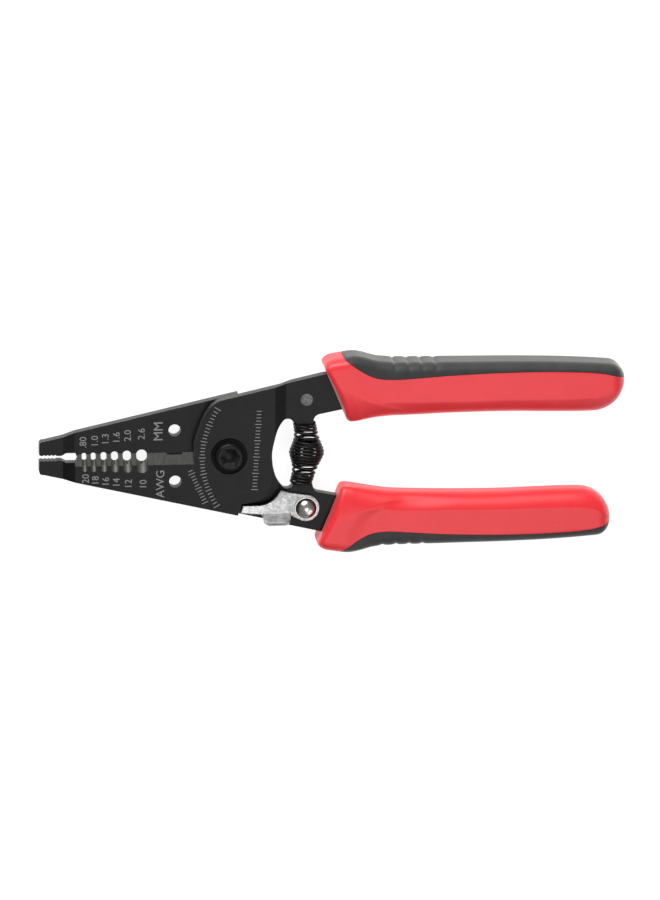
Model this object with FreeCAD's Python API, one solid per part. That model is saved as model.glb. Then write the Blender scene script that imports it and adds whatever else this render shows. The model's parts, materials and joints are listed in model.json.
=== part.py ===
import FreeCAD, Part
import math
import os

# Wire stripper: two crossing steel halves on a pivot screw, sprung open and held shut by a lever.
# The shapes are drawn with the pivot axis at x = y = 0 and the shear plane at z = 0, jaws to -X.
# Each half is drawn as "lower jaw and upper handle"; half a turn about X gives the other one.
# save() then moves everything so that the origin is below the middle of the whole tool.

os.makedirs("parts", exist_ok=True)
vec = FreeCAD.Vector
X_AXIS = vec(1, 0, 0)
Y_AXIS = vec(0, 1, 0)
Z_AXIS = vec(0, 0, 1)
ORIGIN = vec(0, 0, 0)

# ---- driving dimensions, millimetres ----
NOSE_TIP_X = -55.2              # front end of both jaws
LOWER_GRIP_END_X = 112.4        # back end of the lower grip
UPPER_GRIP_STRETCH = 1.04       # the upper grip is a little longer
GRIP_START_X = 27.0
PLATE = 3.0                     # steel thickness
SHEAR_GAP = 0.02                # each plate stays this far off the shear plane
EDGE_Y0 = 17.4                  # outer edge of each half at the pivot
EDGE_SLOPE = 0.23               # and how it opens towards the handle
NOSE_GAP = 1.35                 # between the two noses while locked
TOOTH_PITCH = 1.1
TOOTH_DEPTH = 0.3
TOOTH_COUNT = 4
SLOT_HALF = (1.35, 1.0)         # relief slot between noses and blades, at its front and back
BLADE_START_X = -44.1
BLADE_LAP = 0.8                 # how far each blade passes the centre line
BEVEL_WIDTH = 3.0
NOTCH_X = (-42.1, -39.4, -36.4, -33.2, -29.6, -25.3)
NOTCH_DIAMETER = (1.4, 1.5, 1.75, 2.1, 2.5, 3.15)
NOTCH_DEPTH = (0.28, 0.28, 0.26, 0.22, 0.18, 0.1)   # from the centre line to the round bottom's centre
NOTCH_LEAN = 2.9                # a notch leans back by this much through the plate
LOOP_HOLE = (-15.7, -7.3)
LOOP_HOLE_R = 1.78
JOGGLE_OUTER = (13.3, 16.6)     # the plate steps from the jaw plane to the handle plane here
JOGGLE_INNER = (14.9, 18.2)
NOSE_STEP = (-48.3, -44.8)      # and from the jaw plane to the nose plane here
TANG_HALF = PLATE / 2

SCREW_SHANK_R = 3.0
SCREW_HEAD_R = 4.23
SCREW_HEAD_Z = (2.7, 4.8)
SCREW_HEAD_FILLET = 0.45
HEX_SOCKET_AF = 4.76
HEX_SOCKET_DEPTH = 1.6
COUNTERBORE_R = 5.45
COUNTERBORE_FLOOR = 2.2
RUNNING_CLEARANCE = 0.05
NUT_AF = 10.0
NUT_BOTTOM = -6.0
NUT_CHAMFER_RISE = 2.0          # 45 degree chamfer round the nut's corners

SPRING_X = 21.75
STUB_HALF = 2.9                 # spring seat on each tang
STUB_END_Y = 9.4
PEG_HALF = 1.95                 # tongue that goes up inside the coil
PEG_END_Y = 6.7
SPRING_END_R = 3.5
SPRING_MIDDLE_R = 5.2
SPRING_WIRE = 0.9

RIVET = (22.65, -16.2)
RIVET_SHANK_R = 1.5
RIVET_DOME_R = 3.05
RIVET_DOME_HEIGHT = 1.75
RIVET_TAIL_R = 2.7
RIVET_TAIL_HEIGHT = 0.8
RIVET_TAIL_CHAMFER = 0.4
PLUG_PIN_R = 1.8
LEVER_THICKNESS = 1.2
LEVER_Z = TANG_HALF + 0.05
LEVER_RING_R = 3.95
LEVER_WASHER = 0.3
LEVER_WASHER_R = 3.4
LEVER_TOP = LEVER_Z + LEVER_THICKNESS + 0.03    # where the washer lies
TAB_WIDTH = 8.0
TAB_LENGTH = 4.4
TAB_BEND = 55.0                 # degrees towards the user
TAB_MIDDLE_X = 14.1
TAB_BEND_Y = -18.1

GRIP_HALF_THICKNESS = 6.3
GRIP_SECTION_POINTS = 16
GRIP_SQUARENESS = 0.66          # 1 is an ellipse, towards 0 a rectangle
CORE_END_X = 100.0              # rounded back end of each tang
CORE_END_Y = 19.0
CORE_END_HALF = 2.6

UPPER_GRIP_END_X = GRIP_START_X + (LOWER_GRIP_END_X - GRIP_START_X) * UPPER_GRIP_STRETCH
MOVE_TO_ORIGIN = vec(-(NOSE_TIP_X + UPPER_GRIP_END_X) / 2, 0, GRIP_HALF_THICKNESS)


# ---- small helpers ----
def save(name, shape):
    placed = shape.copy()
    placed.translate(MOVE_TO_ORIGIN)
    placed.exportStep("parts/" + name + ".step")
    box = placed.BoundBox
    size = (round(box.XLength, 1), round(box.YLength, 1), round(box.ZLength, 1))
    print(name, "solids", len(placed.Solids), "valid", placed.isValid(), "size", size)


def spline(points):
    curve = Part.BSplineCurve()
    curve.interpolate([vec(x, y, 0) for x, y in points])
    return curve.toShape()


def line(start, end):
    return Part.makeLine(vec(start[0], start[1], 0), vec(end[0], end[1], 0))


def polyline(points):
    return [line(a, b) for a, b in zip(points, points[1:])]


def arc(start, middle, end):
    return Part.Arc(vec(*start, 0), vec(*middle, 0), vec(*end, 0)).toShape()


def prism(edges, low, high):
    face = Part.Face(Part.Wire(edges))
    face.translate(vec(0, 0, low))
    return face.extrude(vec(0, 0, high - low))


def rod(radius, low, high, at=(0, 0)):
    return Part.makeCylinder(radius, high - low, vec(at[0], at[1], low), Z_AXIS)


def hexagon(across_flats, low, high):
    corner = across_flats / math.sqrt(3)
    turns = [math.radians(60 * i + 30) for i in range(7)]
    return prism(polyline([(corner * math.cos(t), corner * math.sin(t)) for t in turns]), low, high)


def outer_edge_y(x):
    return EDGE_Y0 + EDGE_SLOPE * x


def half_turn(shape):
    turned = shape.copy()
    turned.rotate(ORIGIN, X_AXIS, 180)
    return turned


# ---- the steel halves ----
def tooth_edge():
    """Serrated closing edge of the lower nose, from the tip back to the flat land."""
    top = -NOSE_GAP / 2
    points = [(NOSE_TIP_X, top - TOOTH_DEPTH)]
    for i in range(TOOTH_COUNT):
        start = NOSE_TIP_X + 0.3 + i * TOOTH_PITCH
        points.append((start + 0.35 * TOOTH_PITCH, top))
        points.append((start + TOOTH_PITCH, top - TOOTH_DEPTH))
    land_start = points[-1][0] + 0.3
    points.append((land_start, top))
    points.append((-48.8, top))
    return points


def jaw_edge():
    """Inner edge of the lower jaw, from the nose tip to the cutter behind the blade."""
    slot = [(-47.4, -SLOT_HALF[0]), (BLADE_START_X - 0.5, -SLOT_HALF[1])]
    blade = [(BLADE_START_X + 0.3, BLADE_LAP), (-18.2, BLADE_LAP), (-17.8, 0.2)]
    cutter = [(-13.6, 0.2), (-13.1, 1.6), (-10.3, 1.6)]
    return tooth_edge() + slot + blade + cutter


def handle_core():
    """The tang that runs back inside the grip, ending at the spring seat's back shoulder."""
    top = spline([(26.0, outer_edge_y(26.0)), (30.0, 23.9), (36.0, 23.3), (44.0, 22.6)])
    bottom = spline([(44.0, 15.0), (36.0, 13.7), (30.0, 12.5), (27.0, 11.9)])
    end_top = (CORE_END_X - CORE_END_HALF, CORE_END_Y + CORE_END_HALF)
    end_bottom = (CORE_END_X - CORE_END_HALF, CORE_END_Y - CORE_END_HALF)
    return [top, line((44.0, 22.6), end_top), arc(end_top, (CORE_END_X, CORE_END_Y), end_bottom),
            line(end_bottom, (44.0, 15.0)), bottom]


def spring_seat():
    """Stub with its tongue, drawn from its back shoulder forward to the window edge."""
    back = SPRING_X + STUB_HALF
    front = SPRING_X - STUB_HALF
    stub = polyline([(back, STUB_END_Y), (SPRING_X + PEG_HALF, STUB_END_Y)])
    stub += polyline([(SPRING_X + PEG_HALF, STUB_END_Y), (SPRING_X + PEG_HALF, PEG_END_Y + 0.7)])
    stub.append(arc((SPRING_X + PEG_HALF, PEG_END_Y + 0.7), (SPRING_X, PEG_END_Y),
                    (SPRING_X - PEG_HALF, PEG_END_Y + 0.7)))
    stub += polyline([(SPRING_X - PEG_HALF, PEG_END_Y + 0.7), (SPRING_X - PEG_HALF, STUB_END_Y),
                      (front, STUB_END_Y)])
    return [spline([(27.0, 11.9), (25.3, 11.2), (back, STUB_END_Y)])] + stub + [
        spline([(front, STUB_END_Y), (18.2, 10.25), (16.2, 10.4)])]


def half_outline():
    """Closed outline of one half: lower jaw, pivot boss and upper handle tang."""
    window = spline([(16.2, 10.4), (14.5, 8.3), (13.1, 4.0), (12.5, 0), (12.8, -4.3),
                     (12.2, -8.2), (11.2, -11.3)])
    boss_corner = spline([(11.2, -11.3), (10.3, -12.6), (8.4, -13.7), (3.75, -14.6)])
    lock_step = line((3.75, -14.6), (2.7, -outer_edge_y(2.7)))
    jaw_bottom = line((2.7, -outer_edge_y(2.7)), (-53.9, -outer_edge_y(-53.9)))
    nose_round = arc((-53.9, -outer_edge_y(-53.9)), (-54.87, -4.75), (NOSE_TIP_X, -4.05))
    nose_end = line((NOSE_TIP_X, -4.05), jaw_edge()[0])
    boss_arc = spline([(-10.3, 1.6), (-10.2, 3.6), (-9.1, 7.6), (-7.3, 12.0), (-5.2, 15.2),
                       (-1.5, outer_edge_y(-1.5))])
    tang_top = line((-1.5, outer_edge_y(-1.5)), (26.0, outer_edge_y(26.0)))
    return (polyline(jaw_edge()) + [boss_arc, tang_top] + handle_core() + spring_seat()
            + [window, boss_corner, lock_step, jaw_bottom, nose_round, nose_end])


def side_profile():
    """Seen along Y: nose and handle lie in the middle plane, the jaw plate in front of it."""
    front = [(-60, TANG_HALF), (NOSE_STEP[0], TANG_HALF), (NOSE_STEP[1], PLATE),
             (JOGGLE_OUTER[0], PLATE), (JOGGLE_OUTER[1], TANG_HALF), (120, TANG_HALF)]
    back = [(120, -TANG_HALF), (JOGGLE_INNER[1], -TANG_HALF), (JOGGLE_INNER[0], SHEAR_GAP),
            (NOSE_STEP[1], SHEAR_GAP), (NOSE_STEP[0], -TANG_HALF), (-60, -TANG_HALF)]
    points = [vec(x, -40, z) for x, z in front + back]
    face = Part.Face(Part.makePolygon(points + points[:1]))
    return face.extrude(vec(0, 80, 0))


def bevel_cut():
    """Wedge that grinds the blade down to its edge on the shear plane."""
    edge_y = BLADE_LAP
    points = [vec(0, edge_y, 0), vec(0, edge_y - BEVEL_WIDTH - 0.2, BEVEL_WIDTH + 0.2),
              vec(0, 6, BEVEL_WIDTH + 0.2), vec(0, 6, 0)]
    wedge = Part.Face(Part.makePolygon(points + points[:1]))
    wedge.translate(vec(BLADE_START_X - 0.8, 0, 0))
    return wedge.extrude(vec(-10.3 - BLADE_START_X + 0.8, 0, 0))


def notch_cut(x, radius, depth):
    """Round-bottomed notch, open at the edge, that leans away from it through the plate."""
    mouth = BLADE_LAP + 1
    left = x - radius
    right = x + radius
    edges = [line((left, mouth), (left, -depth)), arc((left, -depth), (x, -depth - radius), (right, -depth)),
             line((right, -depth), (right, mouth)), line((right, mouth), (left, mouth))]
    face = Part.Face(Part.Wire(edges))
    lean = vec(0, -NOTCH_LEAN, PLATE)
    face.translate(lean * -0.05)
    return face.extrude(lean * 1.1)


def steel_half():
    body = prism(half_outline(), -PLATE - 1, PLATE + 1).common(side_profile())
    cuts = [bevel_cut(), rod(LOOP_HOLE_R, -1, PLATE + 1, LOOP_HOLE)]
    cuts += [notch_cut(x, size / 2, depth) for x, size, depth in zip(NOTCH_X, NOTCH_DIAMETER, NOTCH_DEPTH)]
    for cut in cuts:
        body = body.cut(cut)
    return body


def front_half():
    body = steel_half()
    body = body.cut(rod(SCREW_SHANK_R + RUNNING_CLEARANCE, -1, PLATE + 1))
    body = body.cut(rod(COUNTERBORE_R, COUNTERBORE_FLOOR, PLATE + 1))
    return body.cut(rod(PLUG_PIN_R, -PLATE, PLATE, (RIVET[0], -RIVET[1])))


def rear_half():
    body = half_turn(steel_half())
    body = body.cut(rod(SCREW_SHANK_R, -PLATE - 1, 1))
    return body.cut(rod(RIVET_SHANK_R, -PLATE, PLATE, RIVET))


# ---- pivot, spring and lock ----
def pivot_screw():
    low, high = SCREW_HEAD_Z
    head = rod(SCREW_HEAD_R, low, high)
    head = head.makeFillet(SCREW_HEAD_FILLET, [e for e in head.Edges if abs(e.BoundBox.ZMin - high) < 1e-6])
    head = head.cut(hexagon(HEX_SOCKET_AF, high - HEX_SOCKET_DEPTH, high + 1))
    return head.fuse(rod(SCREW_SHANK_R, NUT_BOTTOM, low)).removeSplitter()


def pivot_washer():
    low = COUNTERBORE_FLOOR + 0.02
    return rod(COUNTERBORE_R - 0.25, low, SCREW_HEAD_Z[0]).cut(rod(SCREW_SHANK_R, 0, PLATE))


def pivot_nut():
    nut = hexagon(NUT_AF, NUT_BOTTOM, -PLATE)
    rise = NUT_CHAMFER_RISE
    rim = Part.makeCone(NUT_AF / 2, NUT_AF / 2 + rise, rise, vec(0, 0, NUT_BOTTOM), Z_AXIS)
    rim = rim.fuse(rod(NUT_AF, NUT_BOTTOM + rise, -PLATE))
    return nut.common(rim).cut(rod(SCREW_SHANK_R, NUT_BOTTOM - 1, 0))


def return_spring():
    """Barrel-shaped sleeve standing for the coil; the tongues reach into its ends."""
    end_y = STUB_END_Y
    outer = [(SPRING_END_R, -end_y), (SPRING_MIDDLE_R, 0), (SPRING_END_R, end_y)]
    inner = [(r - SPRING_WIRE, y) for r, y in reversed(outer)]
    edges = [arc(*outer), line(outer[-1], inner[0]), arc(*inner), line(inner[-1], outer[0])]
    barrel = Part.Face(Part.Wire(edges)).revolve(ORIGIN, Y_AXIS, 360)
    barrel.translate(vec(SPRING_X, 0, 0))
    return barrel


def lever_plate():
    tip = [(3.55, -17.4), (4.05, -16.0), (4.3, -15.3)]
    shoulder = spline([(9.4, -15.3), (11.0, -14.9), (12.8, -13.9), (14.3, -12.2)])
    top = spline([(15.2, -10.95), (19.2, -11.7), (RIVET[0], RIVET[1] + LEVER_RING_R)])
    back = 2.2
    ring_end = (RIVET[0] - back, RIVET[1] - math.sqrt(LEVER_RING_R ** 2 - back ** 2))
    ring = arc((RIVET[0], RIVET[1] + LEVER_RING_R), (RIVET[0] + LEVER_RING_R, RIVET[1]), ring_end)
    bottom = polyline([ring_end, (18.5, -18.5), (9.9, -18.5), (9.5, -17.9), (3.55, -17.4)])
    edges = polyline(tip) + [line(tip[-1], (9.4, -15.3)), shoulder]
    edges += [line((14.3, -12.2), (15.2, -10.95)), top, ring] + bottom
    return prism(edges, LEVER_Z, LEVER_Z + LEVER_THICKNESS)


def lever_tab():
    """Thumb tab, bent towards the user along the lever's lower edge."""
    half = TAB_WIDTH / 2
    root = 0.6
    side_end = -TAB_LENGTH + 1.8
    flat_half = half - 2.4
    corner = (half - 0.7, -TAB_LENGTH + 0.45)
    outline = [line((-half, root), (half, root)), line((half, root), (half, side_end)),
               arc((half, side_end), corner, (flat_half, -TAB_LENGTH)),
               line((flat_half, -TAB_LENGTH), (-flat_half, -TAB_LENGTH)),
               arc((-flat_half, -TAB_LENGTH), (-corner[0], corner[1]), (-half, side_end)),
               line((-half, side_end), (-half, root))]
    tab = prism(outline, 0, LEVER_THICKNESS)
    tab.rotate(ORIGIN, X_AXIS, -TAB_BEND)
    tab.translate(vec(TAB_MIDDLE_X, TAB_BEND_Y, LEVER_Z + 0.1))
    return tab.common(Part.makeBox(40, 40, 10, vec(0, -40, LEVER_Z)))


def lock_lever():
    body = lever_plate().fuse(lever_tab()).removeSplitter()
    return body.cut(rod(RIVET_SHANK_R + RUNNING_CLEARANCE, 0, PLATE + 1, RIVET))


def lock_washer():
    disc = rod(LEVER_WASHER_R, LEVER_TOP, LEVER_TOP + LEVER_WASHER, RIVET)
    return disc.cut(rod(RIVET_SHANK_R, 0, PLATE + 1, RIVET))


def lock_rivet():
    dome_base = LEVER_TOP + LEVER_WASHER
    ball_r = (RIVET_DOME_R ** 2 + RIVET_DOME_HEIGHT ** 2) / (2 * RIVET_DOME_HEIGHT)
    centre = vec(RIVET[0], RIVET[1], dome_base + RIVET_DOME_HEIGHT - ball_r)
    dome = Part.makeSphere(ball_r, centre).common(rod(RIVET_DOME_R + 1, dome_base, 20, RIVET))
    tail_end = -TANG_HALF - RIVET_TAIL_HEIGHT
    tail = rod(RIVET_TAIL_R, tail_end, -TANG_HALF, RIVET)
    end_edges = [e for e in tail.Edges if abs(e.BoundBox.ZMax - tail_end) < 1e-3]
    tail = tail.makeChamfer(RIVET_TAIL_CHAMFER, end_edges)
    return dome.fuse([rod(RIVET_SHANK_R, -TANG_HALF, dome_base, RIVET), tail]).removeSplitter()


def tang_plug_pin():
    return rod(PLUG_PIN_R, -TANG_HALF, TANG_HALF + 0.05, (RIVET[0], -RIVET[1]))


# ---- grips ----
def grip_section(x, low, high, half_thickness):
    """Rounded closed curve standing across the handle, between a rectangle and an ellipse."""
    middle_y = (high + low) / 2
    half_width = (high - low) / 2
    points = []
    for i in range(GRIP_SECTION_POINTS):
        turn = 2 * math.pi * i / GRIP_SECTION_POINTS
        across = math.copysign(abs(math.cos(turn)) ** GRIP_SQUARENESS, math.cos(turn))
        up = math.copysign(abs(math.sin(turn)) ** GRIP_SQUARENESS, math.sin(turn))
        points.append(vec(x, middle_y + half_width * across, half_thickness * up))
    curve = Part.BSplineCurve()
    curve.interpolate(points, PeriodicFlag=True)
    return Part.Wire(curve.toShape())


def grip_x(x, stretch):
    return GRIP_START_X + (x - GRIP_START_X) * stretch


def grip_blank(stretch):
    """Whole grip before the seam is cut: station x, inner edge, outer edge, half thickness."""
    stations = [(26, 9.4, 28.6, 6.2), (30.5, 9.7, 29.2, 6.3), (34, 10.0, 29.7, 6.3), (38, 10.5, 29.7, 6.3),
                (42, 11.1, 28.6, 6.3), (45, 11.4, 27.9, 6.3), (49, 11.8, 27.6, 6.3), (62, 12.25, 27.4, 6.3),
                (78, 12.4, 27.3, 6.2), (92, 11.9, 26.9, 6.1), (102, 12.0, 26.2, 5.9),
                (107.5, 13.1, 25.1, 5.4), (110.6, 14.9, 23.6, 4.4), (112.4, 17.6, 21.2, 2.2)]
    wires = [grip_section(grip_x(x, stretch), low, high, half) for x, low, high, half in stations]
    body = Part.makeLoft(wires, True, False)
    front = spline([(33.0, 31.0), (29.0, 29.3), (27.0, 26.9), (28.6, 23.3), (31.2, 18.0), (32.7, 13.6),
                    (34.0, 8.0)])
    keep = [front] + polyline([(34.0, 8.0), (130, 8.0), (130, 31.0), (33.0, 31.0)])
    return body.common(prism(keep, -10, 10))


def overmould_region(stretch):
    """Everything outside the seam between the hard grip and its soft back."""
    seam = [(33.0, 31.5), (36.4, 28.0), (40.2, 25.6), (44.5, 24.1), (50, 23.8), (62, 24.3), (80, 24.6),
            (96, 24.3), (106, 23.5), (114, 21.4)]
    points = [(grip_x(x, stretch), y) for x, y in seam]
    corner_x = points[-1][0]
    edges = [spline(points)] + polyline([points[-1], (corner_x, 31.5), points[0]])
    return prism(edges, -10, 10)


def grip_and_overmould(stretch):
    blank = grip_blank(stretch)
    region = overmould_region(stretch)
    return blank.cut(region), blank.common(region)


def build():
    front = front_half()
    rear = rear_half()
    save("front_half", front)
    save("rear_half", rear)
    save("pivot_screw", pivot_screw())
    save("pivot_washer", pivot_washer())
    save("pivot_nut", pivot_nut())
    save("return_spring", return_spring())
    save("lock_lever", lock_lever())
    save("lock_washer", lock_washer())
    save("lock_rivet", lock_rivet())
    save("tang_plug_pin", tang_plug_pin())
    for name, half, stretch in (("upper", front, UPPER_GRIP_STRETCH), ("lower", rear, 1.0)):
        hard, soft = grip_and_overmould(stretch)
        if name == "lower":
            hard = half_turn(hard)
            soft = half_turn(soft)
        save(name + "_grip", hard.cut(half))
        save(name + "_grip_overmould", soft.cut(half))


build()
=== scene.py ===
import json
import math

import bmesh
import bpy
import numpy as np
from mathutils import Matrix, Vector


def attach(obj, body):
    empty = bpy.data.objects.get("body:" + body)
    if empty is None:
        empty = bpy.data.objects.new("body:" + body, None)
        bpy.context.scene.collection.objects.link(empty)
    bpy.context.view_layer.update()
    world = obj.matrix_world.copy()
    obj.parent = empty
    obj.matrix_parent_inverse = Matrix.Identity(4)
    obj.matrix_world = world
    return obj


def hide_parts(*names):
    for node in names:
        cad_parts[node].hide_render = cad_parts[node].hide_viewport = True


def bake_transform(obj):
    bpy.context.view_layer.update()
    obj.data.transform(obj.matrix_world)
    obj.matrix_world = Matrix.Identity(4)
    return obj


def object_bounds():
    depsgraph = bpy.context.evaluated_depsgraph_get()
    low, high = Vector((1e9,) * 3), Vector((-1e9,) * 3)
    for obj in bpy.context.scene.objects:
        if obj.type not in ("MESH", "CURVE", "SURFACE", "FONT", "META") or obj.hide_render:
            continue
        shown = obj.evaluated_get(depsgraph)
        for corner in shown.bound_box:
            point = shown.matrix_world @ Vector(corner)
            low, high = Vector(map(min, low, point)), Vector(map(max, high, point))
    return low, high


# A wire stripper lying flat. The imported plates, lock lever, lock rivet, washers, nut and flush pin
# get their finishes here. The grips, the coil spring, the pivot screw and the marks on the jaws are
# built in mesh.
# Shapes are worked out in millimetres from the pivot: x towards the handles, y across, z up from
# the plane where the two plates slide on each other. place() turns such a point into the frame.

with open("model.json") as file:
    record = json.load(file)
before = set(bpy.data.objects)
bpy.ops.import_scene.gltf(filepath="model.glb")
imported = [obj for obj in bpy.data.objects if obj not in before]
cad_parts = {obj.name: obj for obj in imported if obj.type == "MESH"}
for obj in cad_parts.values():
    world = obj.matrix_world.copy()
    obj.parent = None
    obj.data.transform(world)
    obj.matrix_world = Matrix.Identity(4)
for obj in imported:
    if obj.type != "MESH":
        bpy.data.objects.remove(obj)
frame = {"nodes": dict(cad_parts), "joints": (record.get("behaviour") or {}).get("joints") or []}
cad_low, cad_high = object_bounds()

MM = 0.001
JOINT_PLACES = {joint["name"]: joint["pos_m"] for joint in frame["joints"]}
PIVOT = Vector(JOINT_PLACES["jaw_pivot"])

# ---- camera ----
CAMERA_DISTANCE = 2.5
CAMERA_SIDE = (-0.1152, 0.2705, 0.9558)     # from the object towards the camera
CAMERA_ROLL = 0.77                          # degrees
CAMERA_LENS = 343.5
CAMERA_AIM = (29.8, 0.49, 0.0)              # mm from the pivot

# ---- grips, millimetres ----
GRIP_START = 30.0
GRIP_END = 112.4
GRIP_PIVOT_X = 27.0                         # the upper grip is stretched from here
UPPER_STRETCH = 1.04
GRIP_KNOTS = (
    # along, inner edge, outer edge, half thickness
    (26.0, 9.6, 27.8, 6.2),
    (30.0, 9.7, 28.4, 6.25),
    (33.0, 9.9, 29.1, 6.27),
    (36.5, 10.3, 29.6, 6.27),
    (39.0, 10.6, 29.2, 6.27),
    (43.0, 11.1, 28.0, 6.27),
    (47.0, 11.6, 27.65, 6.27),
    (55.0, 12.0, 27.5, 6.27),
    (66.0, 12.3, 27.35, 6.25),
    (80.0, 12.4, 27.2, 6.2),
    (92.0, 12.1, 26.9, 6.1),
    (102.0, 12.0, 26.4, 6.0),
    (112.4, 12.6, 25.6, 5.8),
)
FACET_KNOTS = (
    # along, width and depth of the sloping inner side, crease between it and the flat in degrees
    (30.0, 12.0, 3.5, 0.0),
    (32.5, 11.0, 3.5, 0.0),
    (34.0, 9.0, 3.6, 4.0),
    (36.0, 7.4, 3.9, 10.0),
    (38.5, 6.2, 4.2, 16.0),
    (41.5, 5.4, 4.5, 20.0),
    (46.0, 4.85, 4.7, 22.0),
    (112.4, 4.8, 4.7, 22.0),
)
OUTER_RADIUS = 3.2
OUTER_CORNER_STEPS = 14
FACET_STEPS = 22
SCOOP_CREST = ((14.0, 46.0), (15.2, 42.2), (16.4, 39.0), (18.3, 36.6), (20.8, 35.0), (24.0, 33.6),
               (28.0, 32.4))                # across, along: top of the step behind the flange
UPPER_SCOOP_DEPTH = 0.22
LOWER_SCOOP_DEPTH = 0.45
SCOOP_STEP = 5.6
SCOOP_FADE = (7.0, 24.0)                    # it fades out over this stretch behind its crest
SCOOP_FACE = (2.5, 5.6)                     # up: it comes in over this rise towards the flat face
SCOOP_EDGE = (25.5, 28.5)                   # across: it weakens over this stretch
SCOOP_EDGE_LOSS = 0.8
FRONT_FACE = ((8.0, 34.0), (13.6, 32.7), (18.0, 31.2), (23.3, 28.6), (26.9, 27.1), (29.6, 29.0),
              (31.0, 30.5))                 # across, along
UPPER_INNER_DROP = 0.6                      # the upper grip's inner side sits this much lower
INNER_DROP_FADE = (38.0, 52.0)              # along
UPPER_FRONT_SHIFT = 0.35
LOWER_FRONT_SHIFT = -0.95
FRONT_FADE = 17.0                           # the rings turn square over this length
RIM_RADIUS = 1.4
INNER_END_LENGTH = 9.0                      # the inner corner at the end is the rounder one
OUTER_END_LENGTH = 4.6
INNER_END_SHARE = 0.66                      # of the width
END_CURL_POWER = 2.2
END_THICKNESS_LENGTH = 4.0
END_THICKNESS_POWER = 2.4
SEAM_KNOTS = ((29.05, 34.0), (31.2, 30.6), (34.4, 27.9), (37.8, 25.4), (41.4, 23.6), (46.2, 22.95),
              (52.0, 23.2), (62.0, 23.9), (80.0, 24.5), (96.0, 24.3), (106.0, 23.5), (114.0, 21.4))
SEAM_GAP = 0.07
SEAM_GUESS = 27.0                           # across: where the search for the seam starts
SEAM_ROUNDS = 12
SEAM_EDGE_WIDTH = 0.12
RIDGE_PITCH = 3.85
RIDGE_COUNT = 4
RIDGE_DEPTH = 0.42
RIDGE_HALF_WIDTH = 0.6
RIDGE_POWER = 1.5
UPPER_FIRST_RIDGE = 47.2
LOWER_FIRST_RIDGE = 45.2
RING_STEP = 0.45
FRONT_RINGS = (0.02, 0.08, 0.18, 0.32)      # extra rings close behind the front
END_RING_COUNT = 12
END_RING_FIRST = 0.012                      # from the end
END_RING_GROWTH = 1.55                      # each further ring lies this many times further in
BODY_POINTS = 120
COVER_POINTS = 84
SEAM_POINTS = 12

# ---- return spring, millimetres ----
SPRING_X = 21.75
SPRING_HALF = 9.0
SPRING_BOW = 1.2
SPRING_TILT = 0.4
SPRING_END_RADIUS = 2.95
SPRING_MIDDLE_RADIUS = 4.75
SPRING_BULGE_HALF = 3.5
SPRING_BULGE_POWER = 1.6
SPRING_WIRE_RADIUS = 0.42
SPRING_TIGHT = 0.9                          # pitch of the close turns
SPRING_OPEN = 0.72                          # more pitch where the turns stand apart
SPRING_OPEN_AT = 5.0
SPRING_OPEN_WIDTH = 1.5
SPRING_OPEN_POWER = 4
SPRING_SIDES = 12
SPRING_TURN_STEPS = 40

# ---- pivot screw, millimetres ----
SCREW_HEAD_RADIUS = 4.2
SCREW_EDGE_RADIUS = 0.95
SCREW_TOP = 4.8
SCREW_HEAD_BASE = 2.72
SCREW_TAIL = -6.0
SHANK_RADIUS = 2.98
SOCKET_ACROSS_FLATS = 4.76
SOCKET_FLOOR = 3.2
SOCKET_TURN = math.radians(30)
SOCKET_RINGS = (
    # share of the hexagon's size, height
    (0.25, SOCKET_FLOOR - 0.35),
    (0.96, SOCKET_FLOOR),
    (1.0, SOCKET_FLOOR + 0.1),
    (1.0, SCREW_TOP - 0.22),
    (1.05, SCREW_TOP - 0.06),
    (1.12, SCREW_TOP),
)
SCREW_BASE_CHAMFER = 0.15
SCREW_TAIL_CHAMFER = 0.4
SCREW_SIDES = 96
SCREW_EDGE_STEPS = 8

# ---- zones of the steel finish, millimetres: each pair is where a zone fades in or out ----
BLADE_START = (-44.95, -44.85)
BLADE_STOP = (-10.25, -10.2)
BEVEL_OUTER = (-5.25, -5.2)
BEVEL_INNER = (1.65, 1.7)
BEVEL_TOP = (2.93, 2.97)
NOTCHES_STOP = (-24.0, -23.5)
NOTCH_DEEP = (-2.3, -2.5)
LOOP_HOLE = (-15.7, -7.3, 0.0)
LOOP_HOLE_WALL = (1.86, 1.9)
STEEL_EDGE_RADIUS = 0.16

# ---- marks on the steel, millimetres ----
FRONT_FACE_Z = 3.0
SHEAR_FACE_Z = -0.02
MARK_HEIGHT = 0.02
NUMBER_HEIGHT = 2.0
UPPER_NUMBERS = ((".80", -42.4, 4.2), ("1.0", -39.0, 4.7), ("1.3", -35.9, 5.2), ("1.6", -32.7, 5.65),
                 ("2.0", -29.4, 6.0), ("2.6", -25.4, 6.4))
LOWER_NUMBERS = (("20", -41.85, -5.9), ("18", -39.0, -6.3), ("16", -36.0, -6.7), ("14", -32.9, -7.05),
                 ("12", -29.4, -7.5), ("10", -25.1, -7.7))
UPPER_UNIT = ("MM", -20.5, 7.1)
UPPER_UNIT_HEIGHT = 2.6
LOWER_UNIT = ("AWG", -20.1, -8.0)
LOWER_UNIT_HEIGHT = 2.4
SCALE_LINES = (
    # start, end, sag
    ((-3.5, -15.0), (-3.5, 14.3), 4.4),
    ((-6.9, -13.8), (-11.3, -4.2), 0.0),
    ((7.5, -10.2), (8.6, 13.4), 0.0),
)
TICK_PITCH = 0.95
TICK_WIDTH = 0.22
LONG_TICK = 2.0
SHORT_TICK = 1.35
LONG_TICK_EVERY = 5

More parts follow.
